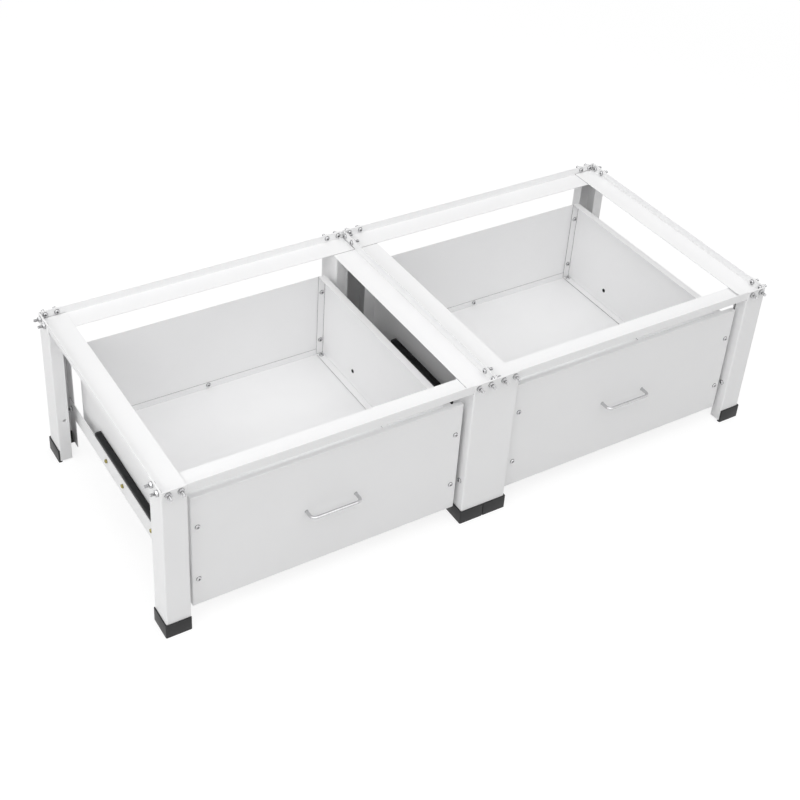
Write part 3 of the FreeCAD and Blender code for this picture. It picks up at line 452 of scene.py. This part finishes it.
def slide_stop(name, material):
    """A plastic stop on the back end of a fixed slide member, rounded off behind."""
    low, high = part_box(name)
    cast = bmesh.new()
    bmesh.ops.create_cube(cast, size=1.0)
    size = Vector((high.x - low.x, STOP_LENGTH, high.z - low.z + 2 * STOP_PROUD))
    rear_end = high.y + STOP_PROUD
    centre = Vector(((low.x + high.x) / 2, rear_end - STOP_LENGTH / 2, (low.z + high.z) / 2))
    shape = Matrix.Translation(centre) @ Matrix.Diagonal(size.to_4d())
    bmesh.ops.transform(cast, matrix=shape, verts=cast.verts)
    lengthwise = [edge for edge in cast.edges if abs(edge.verts[0].co.y - edge.verts[1].co.y) > 1e-6]
    bmesh.ops.bevel(cast, geom=lengthwise, offset=SHOULDER, segments=SHOULDER_STEPS, profile=0.5,
                    affect="EDGES")
    rear = [edge for edge in cast.edges if all(vert.co.y > rear_end - 1e-6 for vert in edge.verts)]
    bmesh.ops.bevel(cast, geom=rear, offset=0.7 * STOP_LENGTH, segments=5, profile=0.5, affect="EDGES",
                    clamp_overlap=True)
    return new_piece(f"{name}_stop", cast, material)


slide_coat = slide_black()
finish_nodes([name for name in nodes if name.endswith(("_slide_outer", "_slide_middle", "_slide_inner"))],
             slide_coat)
finish_nodes([name for name in nodes if name.endswith("_slide_balls")], zinc)
for name in [name for name in nodes if name.endswith("_slide_outer")]:
    channel = rolled_channel(name, slide_coat)
    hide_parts(name)
    stop = slide_stop(name, cap_plastic)
    for piece, finish in ((channel, "black_slide_steel"), (stop, "black_plastic")):
        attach(piece, "frame")

# Slide screws. Yellow plated screws through the fixed slide member and the bar, each with a small nut of the
# same finish on its end outside the bar.
YELLOW_LIGHT = (0.50, 0.43, 0.15, 1.0)
YELLOW_DULL = (0.26, 0.22, 0.07, 1.0)
# Painted shade: the dark tone that the yellow plating is painted towards in recesses and narrow gaps.
YELLOW_PAINTED_SHADE = (0.05, 0.04, 0.01, 1.0)
SLIDE_SCREW_HEAD_HEIGHT = 0.0015
SLIDE_SCREW_PITCH = 0.0014
SLIDE_SCREW_GRIP = 0.0027
SLIDE_NUT_FLATS = 0.007
SLIDE_NUT_HEIGHT = 0.0032
SLIDE_NUT_CHAMFER = 0.95


def nut_mesh(cast, flats, height, bore, place):
    """Adds a hexagon nut with chamfered corners, standing on its seat at a place."""
    face = SLIDE_NUT_CHAMFER * flats / 2
    grid = []
    for step in range(TURN_STEPS):
        angle = 2 * math.pi * step / TURN_STEPS
        corner = flats / 2 / math.cos((angle + math.pi / 6) % (math.pi / 3) - math.pi / 6)
        drop = (corner - face) * math.tan(math.pi / 6)
        profile = [(bore, 0.0), (face, 0.0), (corner, drop),
                   (corner, height - drop), (face, height), (bore, height)]
        out = Vector((math.cos(angle), math.sin(angle), 0.0))
        grid.append([cast.verts.new(place @ (out * reach + Vector((0.0, 0.0, rise))))
                     for reach, rise in profile])
    for near, far in zip(grid, grid[1:] + grid[:1]):
        for index in range(len(near)):
            following = (index + 1) % len(near)
            cast.faces.new((near[index], far[index], far[following], near[following]))


yellow_zinc = plated_steel("yellow_zinc", YELLOW_LIGHT, YELLOW_DULL, YELLOW_PAINTED_SHADE)
finish_nodes(["slide_screws"], yellow_zinc)
bar_screws = screw_set("slide_fixing_screws", screw_places("slide_screws"), SLIDE_SCREW_HEAD_HEIGHT,
                       SLIDE_SCREW_PITCH, yellow_zinc)
nuts = bmesh.new()
for _, shank, _, head_top, way in screw_places("slide_screws"):
    seat = head_top - way * (SLIDE_SCREW_HEAD_HEIGHT + SLIDE_SCREW_GRIP)
    place = Matrix.Translation(seat) @ (-way).to_track_quat("Z", "Y").to_matrix().to_4x4()
    nut_mesh(nuts, SLIDE_NUT_FLATS, SLIDE_NUT_HEIGHT, shank / 2, place)
bmesh.ops.recalc_face_normals(nuts, faces=nuts.faces)
bar_nuts = new_piece("slide_fixing_nuts", nuts, yellow_zinc, math.radians(25))
for piece in (bar_screws, bar_nuts):
    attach(piece, "frame")
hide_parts("slide_screws")

# Drawers. Thin coated sheet: a tray-like front, flanged sides, a pressed back and a pressed bottom, screwed
# together through their flanges.
panels = ("_front", "_back", "_bottom", "_side_left", "_side_right")
finish_nodes([name for name in nodes if "_drawer_" in name and name.endswith(panels)], white_coat)

# Handles. A thin steel rod bent square at both ends, polished and chromed, and screwed on from inside the
# drawer front. The chrome mirrors the white panel and has a few faint wipe marks.
CHROME_LIGHT = (0.62, 0.62, 0.63, 1.0)
CHROME_DULL = (0.55, 0.55, 0.56, 1.0)
CHROME_WIPE = 0.006
CHROME_ROUGHNESS = (0.06, 0.13)


def polished_chrome():
    material, tree, shader, place = new_material("polished_chrome")
    wiped = noise(tree, place, CHROME_WIPE)
    shader.inputs["Metallic"].default_value = 1.0
    tree.links.new(tint(tree, wiped, CHROME_DULL, CHROME_LIGHT), shader.inputs["Base Color"])
    tree.links.new(stretched(tree, wiped, NOISE_BAND, CHROME_ROUGHNESS), shader.inputs["Roughness"])
    tree.links.new(relief(tree, noise(tree, place, 0.001), 0.00002, 0.1), shader.inputs["Normal"])
    return material


finish_nodes([name for name in nodes if name.endswith("_handle")], polished_chrome())

# Drawer screws. Zinc plated pan heads hold the panels together, and flat black ones hold the drawer sides on
# their slides.
PANEL_SCREW_HEAD = 0.009
PANEL_SCREW_HEAD_HEIGHT = 0.0028
PANEL_SCREW_PITCH = 0.0008

for drawer in ("left_drawer", "right_drawer"):
    group = f"{drawer}_screws"
    finish_nodes([group], zinc)
    panel_places, runner_places = [], []
    for place in screw_places(group):
        (panel_places if abs(place[0] - PANEL_SCREW_HEAD) < 1e-4 else runner_places).append(place)
    panel_set = screw_set(f"{drawer}_panel_screws", panel_places, PANEL_SCREW_HEAD_HEIGHT,
                          PANEL_SCREW_PITCH, zinc)
    runner_set = screw_set(f"{drawer}_runner_screws", runner_places, SLIDE_SCREW_HEAD_HEIGHT,
                           SLIDE_SCREW_PITCH, slide_coat)
    for piece, finish in ((panel_set, "zinc_steel"), (runner_set, "black_slide_steel")):
        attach(piece, drawer)
        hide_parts(group)

# Studio. A pale floor that takes the shadow and turns white further off, a white surround, and large soft
# lamps on all sides, so that shadows stay faint. Polished metal mirrors only two of the lamps.
FLOOR_HALF = 8.0
FLOOR_PALE = (0.68, 0.68, 0.68, 1.0)
FLOOR_GLOW = 0.82
FLOOR_CATCH = (0.24, 0.24, 0.24, 1.0)
SHADOW_REACH = 1.3
AMBIENT = 0.14
MIRRORED_LAMPS = ("key_lamp", "front_lamp")
LAMPS = {
    "key_lamp": ((-1.45, -0.75, 3.0), 4.2, 55.0),
    "back_lamp": ((0.3, 3.4, 1.7), 3.2, 28.0),
    "front_lamp": ((0.0, -2.4, 2.8), 3.0, 22.0),
    "low_left_lamp": ((-3.0, -1.6, 1.5), 3.0, 28.0),
    "left_lamp": ((-3.2, 0.4, 1.6), 2.6, 18.0),
    "right_lamp": ((1.6, 0.3, 3.0), 3.0, 32.0),
    "low_right_lamp": ((1.8, -2.6, 1.9), 3.6, 22.0),
}


def seen_directly(tree):
    """1 for rays from the camera and for mirror and glass rays, else 0."""
    path = tree.nodes.new("ShaderNodeLightPath")
    total = path.outputs["Is Camera Ray"]
    for name in ("Is Glossy Ray", "Is Transmission Ray"):
        larger = tree.nodes.new("ShaderNodeMath")
        larger.operation = "MAXIMUM"
        tree.links.new(total, larger.inputs[0])
        tree.links.new(path.outputs[name], larger.inputs[1])
        total = larger.outputs[0]
    return total


def mixed_shader(tree, factor, first, second):
    """One shader turning into another."""
    mix = tree.nodes.new("ShaderNodeMixShader")
    tree.links.new(factor, mix.inputs["Fac"])
    tree.links.new(first.outputs[0], mix.inputs[1])
    tree.links.new(second.outputs[0], mix.inputs[2])
    return mix


def white_floor():
    mesh = bpy.data.meshes.new("floor")
    corners = [(-FLOOR_HALF, -FLOOR_HALF, 0), (FLOOR_HALF, -FLOOR_HALF, 0),
               (FLOOR_HALF, FLOOR_HALF, 0), (-FLOOR_HALF, FLOOR_HALF, 0)]
    mesh.from_pydata(corners, [], [(0, 1, 2, 3)])
    floor = bpy.data.objects.new("floor", mesh)
    bpy.context.scene.collection.objects.link(floor)
    material = bpy.data.materials.new("pale_floor")
    material.use_nodes = True
    tree = material.node_tree
    tree.nodes.clear()
    plain = tree.nodes.new("ShaderNodeBsdfDiffuse")
    plain.inputs["Color"].default_value = FLOOR_PALE
    glow = tree.nodes.new("ShaderNodeEmission")
    glow.inputs["Strength"].default_value = FLOOR_GLOW
    catcher = tree.nodes.new("ShaderNodeBsdfDiffuse")
    catcher.inputs["Color"].default_value = FLOOR_CATCH
    near = tree.nodes.new("ShaderNodeAddShader")
    tree.links.new(glow.outputs[0], near.inputs[0])
    tree.links.new(catcher.outputs[0], near.inputs[1])
    away = tree.nodes.new("ShaderNodeVectorMath")
    away.operation = "LENGTH"
    tree.links.new(tree.nodes.new("ShaderNodeNewGeometry").outputs["Position"], away.inputs[0])
    fade = stretched(tree, away.outputs["Value"], (SHADOW_REACH, 2 * SHADOW_REACH))
    far = tree.nodes.new("ShaderNodeEmission")
    seen = mixed_shader(tree, fade, near, far)
    whole = mixed_shader(tree, seen_directly(tree), plain, seen)
    out = tree.nodes.new("ShaderNodeOutputMaterial")
    tree.links.new(whole.outputs[0], out.inputs["Surface"])
    mesh.materials.append(material)


def soft_lamp(name, place, width, power):
    lamp = bpy.data.lights.new(name, "AREA")
    lamp.shape = "SQUARE"
    lamp.size = width
    lamp.energy = power
    holder = bpy.data.objects.new(name, lamp)
    holder.visible_glossy = name in MIRRORED_LAMPS
    holder.location = place
    holder.rotation_euler = (-Vector(place)).to_track_quat("-Z", "Y").to_euler()
    bpy.context.scene.collection.objects.link(holder)


white_floor()
for name, lamp in LAMPS.items():
    soft_lamp(name, *lamp)
world = bpy.data.worlds.new("white_surround")
bpy.context.scene.world = world
world.use_nodes = True
background = world.node_tree.nodes["Background"]
brightness = world.node_tree.nodes.new("ShaderNodeMapRange")
brightness.inputs["To Min"].default_value = AMBIENT
brightness.inputs["To Max"].default_value = 1.0
world.node_tree.links.new(seen_directly(world.node_tree), brightness.inputs["Value"])
world.node_tree.links.new(brightness.outputs["Result"], background.inputs["Strength"])
background.inputs["Color"].default_value = (1.0, 1.0, 1.0, 1.0)

# Camera. It looks down on the front left corner, as the photograph does. The lens axis meets the picture
# above and left of its centre, and the frame is turned a little clockwise.
PICTURE_SIZE = 800
FOCAL_PIXELS = 1430.9
AXIS_PIXEL = (380.0, 290.0)
AZIMUTH, ELEVATION, ROLL = (math.radians(angle) for angle in (-32.947, 34.171, 3.594))
CAMERA_PLACE = Vector((-1.2485, -1.8044, 1.8226))

backward = Vector((math.sin(AZIMUTH) * math.cos(ELEVATION), -math.cos(AZIMUTH) * math.cos(ELEVATION),
                   math.sin(ELEVATION)))
level = Vector((math.cos(AZIMUTH), math.sin(AZIMUTH), 0.0))
upward = backward.cross(level)
side = level * math.cos(ROLL) + upward * math.sin(ROLL)
top = upward * math.cos(ROLL) - level * math.sin(ROLL)
camera = bpy.data.cameras.new("camera")
camera.sensor_width = 36.0
camera.lens = camera.sensor_width * FOCAL_PIXELS / PICTURE_SIZE
camera.shift_x = (PICTURE_SIZE / 2 - AXIS_PIXEL[0]) / PICTURE_SIZE
camera.shift_y = (AXIS_PIXEL[1] - PICTURE_SIZE / 2) / PICTURE_SIZE
holder = bpy.data.objects.new("camera", camera)
holder.matrix_world = Matrix.Translation(CAMERA_PLACE) @ Matrix((side, top, backward)).transposed().to_4x4()
bpy.context.scene.collection.objects.link(holder)
bpy.context.scene.camera = holder
bpy.context.scene.view_settings.view_transform = "Standard"
